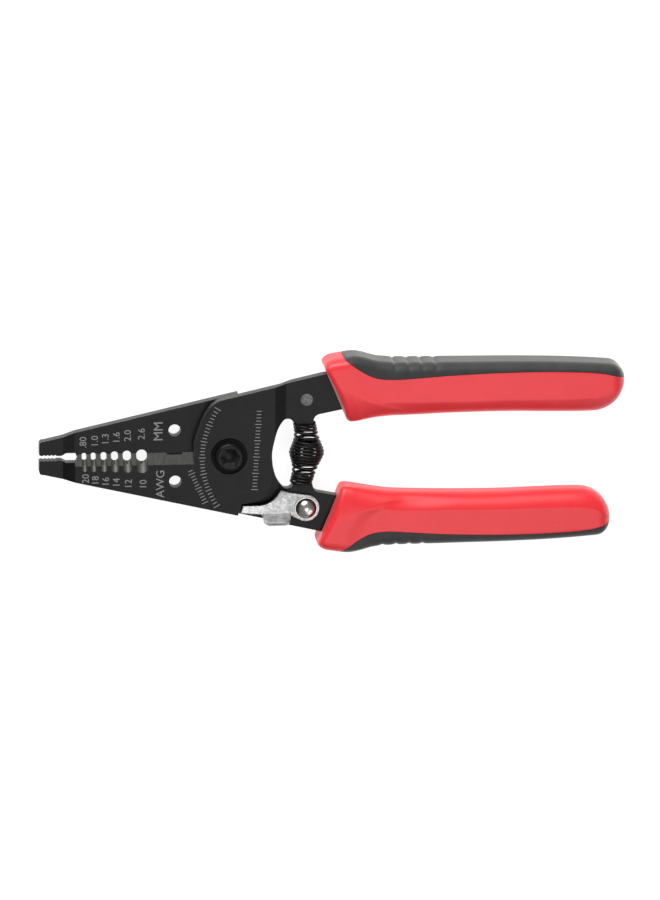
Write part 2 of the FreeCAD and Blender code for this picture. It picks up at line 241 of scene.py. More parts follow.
# ---- floor and lights, metres and watts ----
FLOOR_HALF = 3.0
FLOOR_GAP = 0.05 * MM
FLOOR_GREY = 0.32
FLOOR_GLOW = 0.9
WORLD_STRENGTH = 0.2
LIGHTS = (
    # name, position, size, power
    ("key", (-0.25, 0.8, 0.5), (0.8, 0.45), 8.8),
    ("overhead", (0.12, -0.22, 0.95), (0.4, 0.4), 1.5),
    ("fill", (0.6, -0.7, 0.6), (0.8, 0.8), 2.2),
)


# ---- helpers ----
def place(x, y, z):
    """A point in millimetres from the pivot, in the frame's metres."""
    return PIVOT + Vector((x, y, z)) * MM


def half_turn(point):
    """The same point after half a turn about the long axis: upper half to lower half."""
    return (point[0], -point[1], -point[2])


def smoothstep(low, high, value):
    """Goes smoothly from 0 at low to 1 at high."""
    share = min(1.0, max(0.0, (value - low) / (high - low)))
    return share * share * (3 - 2 * share)


def through(knots, value, column=1):
    """Smooth curve through knots of (position, values...), read at value."""
    if value <= knots[0][0]:
        return knots[0][column]
    if value >= knots[-1][0]:
        return knots[-1][column]
    i = max(k for k in range(len(knots) - 1) if knots[k][0] <= value)
    x0, x1 = knots[i][0], knots[i + 1][0]
    y0, y1 = knots[i][column], knots[i + 1][column]
    slope = (y1 - y0) / (x1 - x0)
    before = (y0 - knots[i - 1][column]) / (x0 - knots[i - 1][0]) if i > 0 else slope
    after = (knots[i + 2][column] - y1) / (knots[i + 2][0] - x1) if i + 2 < len(knots) else slope
    start = (before + slope) / 2
    end = (slope + after) / 2
    width = x1 - x0
    t = (value - x0) / width
    return ((2 * t ** 3 - 3 * t ** 2 + 1) * y0 + (t ** 3 - 2 * t ** 2 + t) * width * start
            + (3 * t ** 2 - 2 * t ** 3) * y1 + (t ** 3 - t ** 2) * width * end)


def new_piece(name, points, faces, material, smooth=True):
    """A mesh piece from points in millimetres from the pivot."""
    mesh = bpy.data.meshes.new(name)
    mesh.from_pydata([place(*p) for p in points], [], faces)
    mesh.update()
    piece = bpy.data.objects.new(name, mesh)
    bpy.context.scene.collection.objects.link(piece)
    mesh.materials.append(material)
    if smooth:
        mesh.polygons.foreach_set("use_smooth", [True] * len(mesh.polygons))
    return piece


def lofted_faces(ring_count, size):
    """Faces between rings of size points each, and a cap on the first and the last ring."""
    faces = []
    for r in range(ring_count - 1):
        for i in range(size):
            j = (i + 1) % size
            faces.append((r * size + i, r * size + j, (r + 1) * size + j, (r + 1) * size + i))
    last = (ring_count - 1) * size
    faces.append(tuple(reversed(range(size))))
    faces.append(tuple(last + i for i in range(size)))
    return faces


def tidy_normals(piece):
    """Merges points that fell together, turns every face outwards and marks the sharp edges."""
    weld_distance = 0.002 * MM
    sharp_from = math.radians(45)
    work = bmesh.new()
    work.from_mesh(piece.data)
    bmesh.ops.remove_doubles(work, verts=work.verts, dist=weld_distance)
    bmesh.ops.recalc_face_normals(work, faces=work.faces)
    for edge in work.edges:
        edge.smooth = edge.calc_face_angle(0.0) < sharp_from
    work.to_mesh(piece.data)
    work.free()


# ---- materials ----
class Shader:
    """Adds linked nodes to one material. Lengths in its maps are millimetres from the pivot."""

    def __init__(self, name):
        self.material = bpy.data.materials.new(name)
        self.material.use_nodes = True
        self.tree = self.material.node_tree
        self.surface = self.tree.nodes["Principled BSDF"]
        coords = self.node("ShaderNodeTexCoord")
        self.normal = coords.outputs["Normal"]
        from_pivot = self.vector("SUBTRACT", coords.outputs["Object"], tuple(PIVOT))
        self.position = self.vector("MULTIPLY", from_pivot, (1 / MM,) * 3)

    def node(self, kind, **settings):
        made = self.tree.nodes.new(kind)
        for key, value in settings.items():
            setattr(made, key, value)
        return made

    def feed(self, socket, value):
        if isinstance(value, bpy.types.NodeSocket):
            self.tree.links.new(value, socket)
        else:
            socket.default_value = value

    def vector(self, operation, a, b):
        made = self.node("ShaderNodeVectorMath", operation=operation)
        self.feed(made.inputs[0], a)
        self.feed(made.inputs[1], b)
        return made.outputs["Value" if operation == "DOT_PRODUCT" else "Vector"]

    def math(self, operation, a, b=0.0, clamp=False):
        made = self.node("ShaderNodeMath", operation=operation, use_clamp=clamp)
        self.feed(made.inputs[0], a)
        self.feed(made.inputs[1], b)
        return made.outputs[0]

    def split(self, vector):
        made = self.node("ShaderNodeSeparateXYZ")
        self.feed(made.inputs[0], vector)
        return made.outputs

    def ramp(self, value, low, high, start=0.0, end=1.0):
        """Runs smoothly from start to end as value goes from low to high."""
        made = self.node("ShaderNodeMapRange", interpolation_type="SMOOTHSTEP")
        for socket, number in zip(made.inputs, (value, low, high, start, end)):
            self.feed(socket, number)
        return made.outputs[0]

    def noise(self, scale=(1, 1, 1), detail=3.0, roughness=0.55, position=None):
        stretched = self.vector("MULTIPLY", position or self.position, scale)
        made = self.node("ShaderNodeTexNoise")
        self.feed(made.inputs["Vector"], stretched)
        made.inputs["Scale"].default_value = 1.0
        made.inputs["Detail"].default_value = detail
        made.inputs["Roughness"].default_value = roughness
        return made.outputs["Fac"]

    def mix(self, share, a, b):
        made = self.node("ShaderNodeMix", data_type="RGBA")
        self.feed(made.inputs["Factor"], share)
        self.feed(made.inputs[6], a)
        self.feed(made.inputs[7], b)
        return made.outputs[2]

    def blend(self, share, a, b):
        """The same for plain numbers."""
        made = self.node("ShaderNodeMix", data_type="FLOAT")
        self.feed(made.inputs["Factor"], share)
        self.feed(made.inputs[2], a)
        self.feed(made.inputs[3], b)
        return made.outputs[0]

    def set(self, **sockets):
        for name, value in sockets.items():
            self.feed(self.surface.inputs[name.replace("_", " ")], value)

    def relief(self, height, strength, distance, rounding=None):
        """Bump from a height map, over edges rounded by the given radius."""
        bump = self.node("ShaderNodeBump")
        bump.inputs["Strength"].default_value = strength
        bump.inputs["Distance"].default_value = distance * MM
        self.feed(bump.inputs["Height"], height)
        if rounding:
            self.feed(bump.inputs["Normal"], self.rounded(rounding))
        self.feed(self.surface.inputs["Normal"], bump.outputs["Normal"])

    def rounded(self, radius):
        bevel = self.node("ShaderNodeBevel", samples=6)
        bevel.inputs["Radius"].default_value = radius * MM
        return bevel.outputs["Normal"]

    def edges(self, radius):
        """About 1 along sharp edges and 0 away from them."""
        geometry = self.node("ShaderNodeNewGeometry")
        match = self.vector("DOT_PRODUCT", self.rounded(radius), geometry.outputs["True Normal"])
        return self.ramp(match, 0.995, 0.9, 0.0, 1.0)


def grey(level, tint=(1.0, 1.0, 1.0)):
    """A grey colour, leaning towards tint."""
    return (level * tint[0], level * tint[1], level * tint[2], 1.0)


def oxide_steel(name, facing):
    """Satin black oxide, with the blade bevels, the notches and the looping hole's wall ground bare.
    facing is -1 for the half that is turned over."""
    shader = Shader(name)
    local = shader.vector("MULTIPLY", shader.position, (1, facing, facing))
    x, y, z = shader.split(local)
    across = shader.vector("MULTIPLY", shader.normal, (1, facing, facing))
    turn, _, rise = shader.split(across)

    along_blade = shader.math("MULTIPLY", shader.ramp(x, *BLADE_START),
                              shader.ramp(x, *BLADE_STOP, 1.0, 0.0))
    beside_edge = shader.math("MULTIPLY", shader.ramp(y, *BEVEL_OUTER),
                              shader.ramp(y, *BEVEL_INNER, 1.0, 0.0))
    below_face = shader.math("MULTIPLY", shader.ramp(z, *BEVEL_TOP, 1.0, 0.0),
                             shader.ramp(rise, -0.6, -0.5))
    ground = shader.math("MULTIPLY", shader.math("MULTIPLY", along_blade, beside_edge), below_face)
    from_hole = shader.node("ShaderNodeVectorMath", operation="LENGTH")
    offset = shader.vector("SUBTRACT", local, LOOP_HOLE)
    shader.feed(from_hole.inputs[0], shader.vector("MULTIPLY", offset, (1, 1, 0)))
    hole_wall = shader.ramp(from_hole.outputs["Value"], *LOOP_HOLE_WALL, 1.0, 0.0)
    bare = shader.math("MAXIMUM", ground, hole_wall)

    grain = shader.noise((9, 9, 9), detail=2.0)
    cloud = shader.noise((0.35, 0.35, 0.35), detail=3.0)
    rim_noise = shader.noise((0.7, 0.7, 3.0), detail=2.0)
    lines = shader.noise((7.0, 0.35, 0.35), detail=4.0)
    side_wall = shader.ramp(shader.math("ABSOLUTE", rise), 0.3, 0.12)
    inside_notch = shader.math("MULTIPLY", shader.ramp(x, *NOTCHES_STOP, 1.0, 0.0),
                               shader.math("MAXIMUM", shader.ramp(y, *NOTCH_DEEP),
                                           shader.ramp(shader.math("ABSOLUTE", turn), 0.12, 0.3)))
    worn = shader.math("MULTIPLY", shader.edges(STEEL_EDGE_RADIUS),
                       shader.ramp(cloud, 0.35, 0.75, 0.15, 0.75))

    oxide = shader.mix(shader.ramp(cloud, 0.3, 0.7), grey(0.0042, (0.96, 1.0, 1.02)),
                       grey(0.0066, (0.96, 1.0, 1.04)))
    # painted reflection: the side walls are lighter, partly bare ground edges and partly a painted
    # reflection of the light falling on them
    rim_bare_and_painted_reflection = shader.mix(shader.ramp(rim_noise, 0.35, 0.7), grey(0.03),
                          grey(0.075, (1.0, 0.98, 0.94)))
    oxide = shader.mix(side_wall, oxide, rim_bare_and_painted_reflection)
    oxide = shader.mix(worn, oxide, grey(0.24))
    metal = shader.mix(shader.ramp(lines, 0.35, 0.68), grey(0.026),
                       grey(0.062, (1.0, 1.0, 0.96)))
    metal = shader.mix(inside_notch, metal, grey(0.13, (1.0, 1.0, 0.96)))
    colour = shader.mix(bare, oxide, metal)
    roughness = shader.blend(bare, shader.ramp(grain, 0.3, 0.7, 0.36, 0.46),
                             shader.ramp(lines, 0.3, 0.7, 0.3, 0.5))
    metallic = shader.blend(bare, shader.math("MULTIPLY", worn, 0.6), 0.5)
    height = shader.blend(bare, grain, lines)
    shader.set(Base_Color=colour, Roughness=roughness, Metallic=metallic)
    shader.surface.inputs["Specular IOR Level"].default_value = 0.24
    shader.relief(height, 0.18, 0.05, rounding=STEEL_EDGE_RADIUS)
    return shader.material


def black_fastener(name, level=0.006):
    """Black oxide on turned parts, worn to bare steel in places along the edges."""
    shader = Shader(name)
    grain = shader.noise((7, 7, 7), detail=3.0)
    cloud = shader.noise((0.8, 0.8, 0.8))
    worn = shader.math("MULTIPLY", shader.edges(0.2), shader.ramp(cloud, 0.35, 0.7, 0.2, 0.7))
    oxide = shader.mix(grain, grey(level * 0.7), grey(level * 1.4, (0.98, 1.0, 1.03)))
    shader.set(Base_Color=shader.mix(worn, oxide, grey(0.12)),
               Roughness=shader.ramp(grain, 0.3, 0.7, 0.3, 0.42))
    shader.surface.inputs["Specular IOR Level"].default_value = 0.22
    shader.relief(grain, 0.15, 0.04, rounding=0.2)
    return shader.material


def black_with_painted_shade():
    """Flat black for the washer in the counterbore, made darker than the other black parts as painted
    shade of the counterbore round the screw head.
    """
    shader = Shader("washer_black_painted_shade")
    grain = shader.noise((7, 7, 7), detail=3.0)
    # painted shade: this near-black tone stands for the shadowed ring round the screw head
    shader.set(Base_Color=shader.mix(grain, grey(0.002), grey(0.004)),
               Roughness=shader.ramp(grain, 0.3, 0.7, 0.5, 0.6))
    shader.surface.inputs["Specular IOR Level"].default_value = 0.12
    return shader.material


def spring_black():
    """Black spring wire with a soft shine."""
    shader = Shader("spring_black")
    grain = shader.noise((5, 5, 5), detail=2.0)
    shader.set(Base_Color=shader.mix(grain, grey(0.003), grey(0.008)),
               Roughness=shader.ramp(grain, 0.3, 0.7, 0.28, 0.38))
    shader.surface.inputs["Specular IOR Level"].default_value = 0.26
    shader.relief(grain, 0.1, 0.03)
    return shader.material


def bright_metal(name, dark, light, low_roughness, high_roughness, rounding=0.2):
    """Plated steel: small cloudy changes of tone, faint rolling lines and polished edges."""
    shader = Shader(name)
    cloud = shader.noise((0.9, 0.9, 0.9), detail=4.0)
    lines = shader.noise((0.6, 9.0, 3.0), detail=3.0)
    tone = shader.mix(shader.ramp(cloud, 0.3, 0.7), dark, light)
    tone = shader.mix(shader.math("MULTIPLY", shader.ramp(lines, 0.55, 0.8), 0.3), tone, dark)
    shader.set(Base_Color=tone,
               Roughness=shader.ramp(cloud, 0.3, 0.75, low_roughness, high_roughness))
    shader.surface.inputs["Metallic"].default_value = 1.0
    shader.relief(lines, 0.08, 0.02, rounding=rounding)
    return shader.material


def zinc_lever():
    """Dull zinc, lighter towards the finger and mottled by the plating bath."""
    shader = Shader("zinc_plate")
    x = shader.split(shader.position)[0]
    cloud = shader.noise((0.55, 0.55, 0.55), detail=4.0)
    mottle = shader.noise((1.6, 1.6, 1.6), detail=2.0)
    tone = shader.mix(shader.ramp(cloud, 0.32, 0.68), grey(0.33, (0.98, 1.0, 0.99)), grey(0.52))
    finger = shader.ramp(x, 8.0, 13.0, 1.0, 0.0)
    tone = shader.mix(shader.math("MULTIPLY", finger, 0.8), tone, grey(0.62))
    shader.set(Base_Color=tone, Roughness=shader.ramp(mottle, 0.3, 0.75, 0.33, 0.46))
    shader.surface.inputs["Metallic"].default_value = 1.0
    shader.relief(mottle, 0.1, 0.05, rounding=0.4)
    return shader.material


def rivet_nickel():
    """Nickel, bright on top of the dome as a painted highlight and dark brown round its foot as a
    painted reflection of the dark surroundings.
    """
    shader = Shader("rivet_nickel")
    cloud = shader.noise((0.9, 0.9, 0.9), detail=4.0)
    rise = shader.split(shader.normal)[2]
    # painted light: by how far the surface faces up, the tone runs from a painted dark reflection at the
    # foot to a painted highlight on top
    top = shader.ramp(shader.math("ADD", rise, shader.math("MULTIPLY", cloud, 0.16)), 0.72, 1.06)
    tone = shader.mix(top, grey(0.1, (1.0, 0.9, 0.82)), grey(0.82, (1.0, 0.97, 0.93)))
    shader.set(Base_Color=tone, Roughness=shader.ramp(cloud, 0.3, 0.75, 0.2, 0.3))
    shader.surface.inputs["Metallic"].default_value = 1.0
    shader.relief(cloud, 0.05, 0.02)
    return shader.material


def red_vinyl():
    """Glossy red moulding, scuffed pale near the end of the handle."""
    shader = Shader("red_vinyl")
    x = shader.split(shader.position)[0]
    cloud = shader.noise((0.12, 0.12, 0.12), detail=3.0)
    grain = shader.noise((6, 6, 6), detail=3.0)
    streak = shader.noise((0.8, 3.5, 3.5), detail=5.0, roughness=0.7)
    colour = shader.mix(shader.ramp(cloud, 0.3, 0.7), (0.92, 0.022, 0.034, 1),
                        (0.95, 0.027, 0.040, 1))
    near_end = shader.ramp(x, 70.0, 108.0)
    scuff = shader.math("MULTIPLY", near_end, shader.ramp(streak, 0.62, 0.72))
    colour = shader.mix(shader.math("MULTIPLY", scuff, 0.45), colour, (0.9, 0.35, 0.36, 1))
    shader.set(Base_Color=colour,
               Roughness=shader.math("ADD", shader.ramp(grain, 0.3, 0.7, 0.36, 0.45),
                                     shader.math("MULTIPLY", scuff, 0.15)))
    shader.surface.inputs["Specular IOR Level"].default_value = 0.62
    shader.surface.inputs["Sheen Weight"].default_value = 0.25
    shader.surface.inputs["Sheen Tint"].default_value = (1.0, 0.95, 0.95, 1)
    shader.surface.inputs["Sheen Roughness"].default_value = 0.4
    shader.surface.inputs["Subsurface Weight"].default_value = 0.06
    shader.surface.inputs["Subsurface Radius"].default_value = (1.0, 0.2, 0.1)
    shader.surface.inputs["Subsurface Scale"].default_value = 0.001
    shader.relief(grain, 0.1, 0.05)
    return shader.material


def soft_black():
    """Matt charcoal rubber with a fine grain."""
    shader = Shader("soft_black")
    grain = shader.noise((4.5, 4.5, 4.5), detail=4.0, roughness=0.65)
    cloud = shader.noise((0.2, 0.2, 0.2))
    colour = shader.mix(shader.ramp(cloud, 0.3, 0.7), grey(0.020, (0.96, 1.0, 1.02)),
                        grey(0.030, (0.97, 1.0, 1.0)))
    shader.set(Base_Color=colour, Roughness=shader.ramp(grain, 0.3, 0.7, 0.52, 0.66))
    shader.surface.inputs["Specular IOR Level"].default_value = 0.5
    shader.surface.inputs["Sheen Weight"].default_value = 0.75
    shader.surface.inputs["Sheen Tint"].default_value = (0.95, 0.96, 0.9, 1)
    shader.surface.inputs["Sheen Roughness"].default_value = 0.4
    shader.relief(grain, 0.22, 0.07)
    return shader.material


def etched_grey():
    """Pale grey of the numbers and scale marks."""
    shader = Shader("etched_grey")
    grain = shader.noise((6, 6, 6), detail=3.0)
    shader.set(Base_Color=shader.mix(shader.ramp(grain, 0.3, 0.7), grey(0.22), grey(0.36)),
               Roughness=shader.ramp(grain, 0.3, 0.7, 0.45, 0.6))
    shader.surface.inputs["Metallic"].default_value = 0.35
    return shader.material


# ---- grips ----
def corner_arc(centre, radius, start, steps):
    """A quarter circle that starts at this angle in degrees."""
    angles = [math.radians(start + 90 * i / steps) for i in range(steps + 1)]
    return [(centre[0] + radius * math.cos(a), centre[1] + radius * math.sin(a)) for a in angles]


def section_outline(inner, outer, half, facet_width, facet_depth, crease):
    """Closed outline of (across, up): round outer side, sloping facets on the inner side."""
    top = corner_arc((outer - OUTER_RADIUS, half - OUTER_RADIUS), OUTER_RADIUS, 0, OUTER_CORNER_STEPS)
    edge_height = half - facet_depth
    first_sine = math.sin(math.radians(crease))
    first_cosine = math.cos(math.radians(crease))
    for i in range(FACET_STEPS + 1):
        angle = math.radians(crease + (90 - crease) * i / FACET_STEPS)
        inward = (math.sin(angle) - first_sine) / (1 - first_sine)
        rise = math.cos(angle) / first_cosine
        top.append((inner + facet_width * (1 - inward), edge_height + facet_depth * rise))
    return top + [(across, -up) for across, up in reversed(top)]


def resample(path, count):
    """Points at equal steps along an open path of (across, up)."""
    line = np.array(path, float)
    steps = np.hypot(*np.diff(line, axis=0).T)
    travelled = np.concatenate([[0.0], np.cumsum(steps)])
    wanted = np.linspace(0.0, travelled[-1], count)
    return list(zip(np.interp(wanted, travelled, line[:, 0]), np.interp(wanted, travelled, line[:, 1])))


def cut_outline(outline, level, keep_outer):
    """The stretch of a closed outline on one side of across = level, as an open path."""
    def beyond(point):
        return (point[0] > level) == keep_outer

    def nearest_to_cut(i):
        across, up = outline[i]
        return (across if keep_outer else -across, -up)

    def crossing(before, here):
        share = (level - before[0]) / (here[0] - before[0])
        return (level, before[1] + share * (here[1] - before[1]))

    count = len(outline)
    if all(beyond(p) for p in outline):
        first = min(range(count), key=nearest_to_cut)
        return [outline[(first + i) % count] for i in range(count)]
    if not any(beyond(p) for p in outline):
        return None
    i = next(i for i in range(count) if beyond(outline[i]) and not beyond(outline[i - 1]))
    path = [crossing(outline[i - 1], outline[i])]
    while beyond(outline[i % count]):
        path.append(outline[i % count])
        i += 1
    path.append(crossing(outline[(i - 1) % count], outline[i % count]))
    return path


def ridge_drop(along, first):
    """How deep the finger ridges cut into the outer side at this station."""
    drop = 0.0
    for i in range(RIDGE_COUNT):
        away = (along - first - i * RIDGE_PITCH) / RIDGE_HALF_WIDTH
        drop += RIDGE_DEPTH / (1 + away ** 2) ** RIDGE_POWER
    return drop


def end_inset(from_end, length, reach):
    """How far an edge has curled in at this distance from the rounded end."""
    if from_end >= length:
        return 0.0
    return reach * (1 - math.sqrt(max(0.0, 1 - (1 - from_end / length) ** END_CURL_POWER)))


def grip_ring(station, first_ridge, inner_drop):
    """Outline of the grip at a station, before its front is slanted."""
    inner = through(GRIP_KNOTS, station, 1) - inner_drop * smoothstep(*INNER_DROP_FADE, station)
    outer = through(GRIP_KNOTS, station, 2) - ridge_drop(station, first_ridge)
    half = through(GRIP_KNOTS, station, 3)
    facet = [through(FACET_KNOTS, station, column) for column in (1, 2, 3)]
    outline = section_outline(inner, outer, half, *facet)
    from_end = GRIP_END - station
    width = outer - inner
    curled_inner = inner + end_inset(from_end, INNER_END_LENGTH, INNER_END_SHARE * width)
    curled_outer = outer - end_inset(from_end, OUTER_END_LENGTH, (1 - INNER_END_SHARE) * width)
    width_share = (curled_outer - curled_inner) / width
    height_share = 1.0
    if from_end < END_THICKNESS_LENGTH:
        closeness = 1 - from_end / END_THICKNESS_LENGTH
        height_share = math.sqrt(max(0.0, 1 - closeness ** END_THICKNESS_POWER))
    from_front = station - GRIP_START
    if from_front < RIM_RADIUS:
        inset = RIM_RADIUS - math.sqrt(RIM_RADIUS ** 2 - (RIM_RADIUS - from_front) ** 2)
        width_share *= 1 - 2 * inset / width
        height_share *= 1 - inset / half
    old_centre = (inner + outer) / 2
    new_centre = (curled_inner + curled_outer) / 2
    return [(new_centre + (across - old_centre) * width_share, up * height_share)
            for across, up in outline]


def scoop_drop(along, across, up, depth):
    """Thumb scoop on both flat faces: a step down behind the flange that fades out backwards."""
    behind = along - through(SCOOP_CREST, across)
    step = smoothstep(0.0, SCOOP_STEP, behind)
    fade = 1 - smoothstep(*SCOOP_FADE, behind)
    on_face = smoothstep(*SCOOP_FACE, abs(up))
    inside_edge = 1 - SCOOP_EDGE_LOSS * smoothstep(*SCOOP_EDGE, across)
    return depth * step * fade * on_face * inside_edge


def slanted(station, across, shift):
    """Where a ring's point lies along the tool once the front is slanted and shifted."""
    fade = 1 - smoothstep(GRIP_START, GRIP_START + FRONT_FADE, station)
    return station + (through(FRONT_FACE, across) + shift - GRIP_START) * fade


def seam_level(station, offset, shift):
    """Across position of the seam on one ring, which depends on the slant."""
    level = SEAM_GUESS
    for _ in range(SEAM_ROUNDS):
        level = 0.5 * level + 0.5 * through(SEAM_KNOTS, slanted(station, level, shift))
    return level + offset


def grip_stations():
    """Where the rings stand: evenly along the grip, closer together at its front and its end."""
    ends = [GRIP_END - END_RING_FIRST * END_RING_GROWTH ** i for i in range(END_RING_COUNT)]
    even_length = ends[-1] - GRIP_START
    count = int(even_length / RING_STEP)
    even = [GRIP_START + even_length * i / count for i in range(count)]
    near = [GRIP_START + offset for offset in FRONT_RINGS]
    return sorted(set(even + near + ends))


def grip_piece(name, upper, cover, material, body):
    """One closed shell of a grip: the hard body inside the seam, or the soft cover outside it."""
    first_ridge = UPPER_FIRST_RIDGE if upper else LOWER_FIRST_RIDGE
    stretch = UPPER_STRETCH if upper else 1.0
    shift = UPPER_FRONT_SHIFT if upper else LOWER_FRONT_SHIFT
    scoop = UPPER_SCOOP_DEPTH if upper else LOWER_SCOOP_DEPTH
    count = COVER_POINTS if cover else BODY_POINTS
    rings = []
    for station in grip_stations():
        outline = grip_ring(station, first_ridge, UPPER_INNER_DROP if upper else 0.0)
        level = seam_level(station, SEAM_GAP if cover else -SEAM_GAP, shift)
        path = cut_outline(outline, level, cover)
        if path is None:
            continue
        path = resample(path, count)
        closing = resample([path[-1], path[0]], SEAM_POINTS + 2)[1:-1]
        ring = []
        for across, up in path + closing:
            along = slanted(station, across, shift)
            sunk = up - math.copysign(scoop_drop(along, across, up, scoop), up)
            stretched = GRIP_PIVOT_X + (along - GRIP_PIVOT_X) * stretch
            point = (stretched, across, sunk)
            ring.append(point if upper else half_turn(point))
        rings.append(ring)
    points = [p for ring in rings for p in ring]
    faces = lofted_faces(len(rings), len(rings[0]))
    piece = new_piece(name, points, faces, material)
    tidy_normals(piece)
    edge = piece.modifiers.new("rounded_seam", "BEVEL")
    edge.width = SEAM_EDGE_WIDTH * MM
    edge.segments = 2
    edge.limit_method = "ANGLE"
    edge.angle_limit = math.radians(50)
    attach(piece, body)
    return piece


def build_grips():
    """Each grip is a red shell and a black cover that meet at the seam."""
    red = red_vinyl()
    black = soft_black()
    for side, upper, body in (("upper", True, "front_body"), ("lower", False, "rear_body")):
        shell = grip_piece(side + "_grip_body", upper, False, red, body)
        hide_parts(side + "_grip")
        cover = grip_piece(side + "_grip_cover", upper, True, black, body)
        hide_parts(side + "_grip_overmould")


# ---- return spring ----
def spring_radius(y):
    """Radius of the coil at this height: widest in the middle, like a barrel."""
    bulge = math.exp(-(abs(y) / SPRING_BULGE_HALF) ** SPRING_BULGE_POWER)
    return SPRING_END_RADIUS + (SPRING_MIDDLE_RADIUS - SPRING_END_RADIUS) * bulge


def spring_pitch(y):
    """Rise per turn: the turns stand apart on either side of the bulge."""
    away = (abs(y) - SPRING_OPEN_AT) / SPRING_OPEN_WIDTH
    return SPRING_TIGHT + SPRING_OPEN * math.exp(-away ** SPRING_OPEN_POWER)


def build_spring():
    """Barrel coil, closed at its ends, wound from the lower seat to the upper one."""
    centres = []
    y, turn = -SPRING_HALF, 0.0
    while y < SPRING_HALF:
        radius = spring_radius(y)
        share = y / SPRING_HALF
        middle = SPRING_X + SPRING_TILT * share + SPRING_BOW * (1 - share ** 2)
        centres.append(Vector((middle + radius * math.cos(turn), y, radius * math.sin(turn))))
        turn += 2 * math.pi / SPRING_TURN_STEPS
        y += spring_pitch(y) / SPRING_TURN_STEPS
    points = []
    for i, centre in enumerate(centres):
        ahead = centres[min(i + 1, len(centres) - 1)] - centres[max(i - 1, 0)]
        ahead.normalize()
        out = (centre - Vector((SPRING_X, centre.y, 0))).normalized()
        side = ahead.cross(out).normalized()
        out = side.cross(ahead)
        for k in range(SPRING_SIDES):
            angle = 2 * math.pi * k / SPRING_SIDES
            points.append(centre + SPRING_WIRE_RADIUS * (math.cos(angle) * out + math.sin(angle) * side))
    faces = lofted_faces(len(centres), SPRING_SIDES)
    coil = new_piece("return_spring_coil", points, faces, spring_black())
    tidy_normals(coil)
    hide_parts("return_spring")
    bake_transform(coil)


# ---- pivot screw ----
def hexagon_radius(angle, across_flats):
    """Distance from the centre to a hexagon's edge in this direction."""
    sixth = math.pi / 3
    return across_flats / 2 / math.cos((angle + sixth / 2) % sixth - sixth / 2)


def screw_profile():
    """Radius and height of the screw's round rings, from the edge of its head down to the tail."""
    rings = [(SCREW_HEAD_RADIUS - SCREW_EDGE_RADIUS, SCREW_TOP)]
    for i in range(1, SCREW_EDGE_STEPS + 1):
        angle = math.pi / 2 * i / SCREW_EDGE_STEPS
        rings.append((SCREW_HEAD_RADIUS - SCREW_EDGE_RADIUS * (1 - math.sin(angle)),
                      SCREW_TOP - SCREW_EDGE_RADIUS * (1 - math.cos(angle))))
    rings.append((SCREW_HEAD_RADIUS, SCREW_HEAD_BASE + SCREW_BASE_CHAMFER))
    rings.append((SCREW_HEAD_RADIUS - SCREW_BASE_CHAMFER, SCREW_HEAD_BASE))
    rings.append((SHANK_RADIUS, SCREW_HEAD_BASE))
    rings.append((SHANK_RADIUS, SCREW_TAIL + SCREW_TAIL_CHAMFER))
    rings.append((SHANK_RADIUS - SCREW_TAIL_CHAMFER, SCREW_TAIL))
    return rings


def build_screw():
    """Socket-head pivot screw, as rings from the socket floor out over the head and down."""
    angles = [2 * math.pi * k / SCREW_SIDES for k in range(SCREW_SIDES)]
    points = []
    for share, z in SOCKET_RINGS:
        for angle in angles:
            radius = share * hexagon_radius(angle - SOCKET_TURN, SOCKET_ACROSS_FLATS)
            points.append((radius * math.cos(angle), radius * math.sin(angle), z))
    profile = screw_profile()
    for radius, z in profile:
        points += [(radius * math.cos(angle), radius * math.sin(angle), z) for angle in angles]
    faces = lofted_faces(len(SOCKET_RINGS) + len(profile), SCREW_SIDES)
    screw = new_piece("pivot_socket_screw", points, faces, black_fastener("screw_black"))
    tidy_normals(screw)
    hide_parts("pivot_screw")
    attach(screw, "rear_body")


# ---- marks ----
def number_mesh(text, x, y, z, height):
    """Raised lettering that reads from the bottom up: its points and faces in millimetres."""
    curve = bpy.data.curves.new("number", "FONT")
    curve.body = text
    curve.resolution_u = 3
    curve.extrude = 0.5                     # any depth: it is scaled to MARK_HEIGHT below
    maker = bpy.data.objects.new("number", curve)
    bpy.context.scene.collection.objects.link(maker)
    mesh = bpy.data.meshes.new_from_object(maker)
    bpy.data.objects.remove(maker)
    corners = np.array([v.co for v in mesh.vertices], float)
    low, high = corners.min(0), corners.max(0)
    centre = (low + high) / 2
    scale = height / (high[1] - low[1])
    points = [(x - (p[1] - centre[1]) * scale, y + (p[0] - centre[0]) * scale,
               z + MARK_HEIGHT * (p[2] - low[2]) / (high[2] - low[2])) for p in corners]
    return points, [tuple(f.vertices) for f in mesh.polygons]


def joined(parts):
    """The points and faces of several meshes as one."""
    points, faces = [], []
    for part_points, part_faces in parts:
        shift = len(points)
        points += part_points
        faces += [tuple(i + shift for i in face) for face in part_faces]
    return points, faces


def block(corners, low, high):
    """A thin raised four-sided mark."""
    points = [(x, y, low) for x, y in corners] + [(x, y, high) for x, y in corners]
    sides = [(i, (i + 1) % 4, (i + 1) % 4 + 4, i + 4) for i in range(4)]
    return points, [(3, 2, 1, 0), (4, 5, 6, 7)] + sides


def tick(x, y, heading, length):
    """A short stroke across a scale line that runs along heading (radians)."""
    cosine, sine = math.cos(heading), math.sin(heading)
    half_length, half_width = length / 2, TICK_WIDTH / 2
    corners = [(x + a * half_width * cosine - b * half_length * sine,
                y + a * half_width * sine + b * half_length * cosine)
               for a, b in ((-1, -1), (1, -1), (1, 1), (-1, 1))]
    return block(corners, FRONT_FACE_Z, FRONT_FACE_Z + MARK_HEIGHT)


